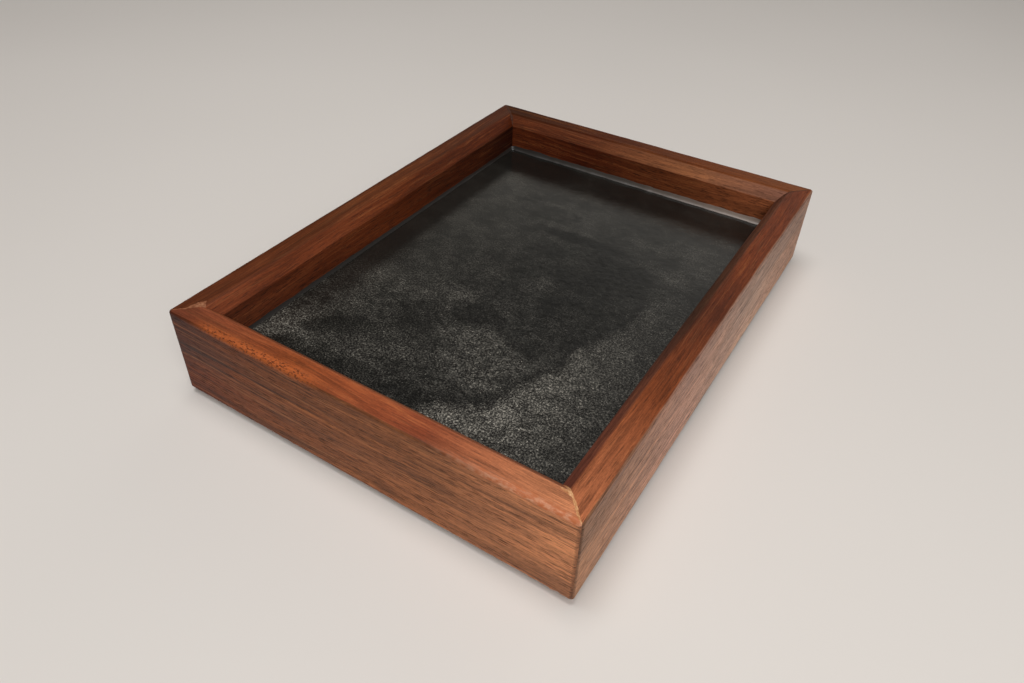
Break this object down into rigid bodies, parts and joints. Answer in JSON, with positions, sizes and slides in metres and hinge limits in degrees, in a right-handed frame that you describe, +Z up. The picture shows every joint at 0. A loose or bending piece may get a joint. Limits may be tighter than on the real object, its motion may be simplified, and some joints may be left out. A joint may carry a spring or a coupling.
{
  "type": "framed inkstone",
  "caption": "Rectangular black stone slab for grinding an ink stick, sunk in a mitred hardwood tray with bevelled inner edges and rubber feet.",
  "frame": {"origin": "centre of the tray's outline, on the surface that its feet stand on", "axes": "+Z up out of the recess, +Y along the tray's length from the front rail to the back rail, +X to the right"},
  "size_m": [0.15, 0.201, 0.035],
  "materials": {
    "rail": "oiled reddish-brown hardwood with fine dark pores, satin",
    "key": "pale hardwood, unfinished",
    "filler": "pale wood filler, sanded flush",
    "slab": "black slate, finely grained, semi-gloss",
    "seal": "dark glossy sealant",
    "cork": "fine cork sheet",
    "panel": "birch plywood, sealed",
    "screw": "turned brass, dull",
    "foot": "black rubber, matt"
  },
  "bodies": {
    "root": {"rail_front": "rail", "rail_right": "rail", "rail_back": "rail", "rail_left": "rail", "mitre_key_front_left": "key", "mitre_key_front_right": "key", "mitre_key_back_right": "key", "mitre_key_back_left": "key", "mitre_filler_front_left": "filler", "mitre_filler_front_right": "filler", "mitre_filler_back_right": "filler", "mitre_filler_back_left": "filler", "ink_slab": "slab", "seal_bead": "seal", "slab_bedding": "cork", "base_panel": "panel", "panel_screws": "screw", "foot_front_left": "foot", "foot_front_right": "foot", "foot_back_right": "foot", "foot_back_left": "foot"}
  },
  "joints": []
}
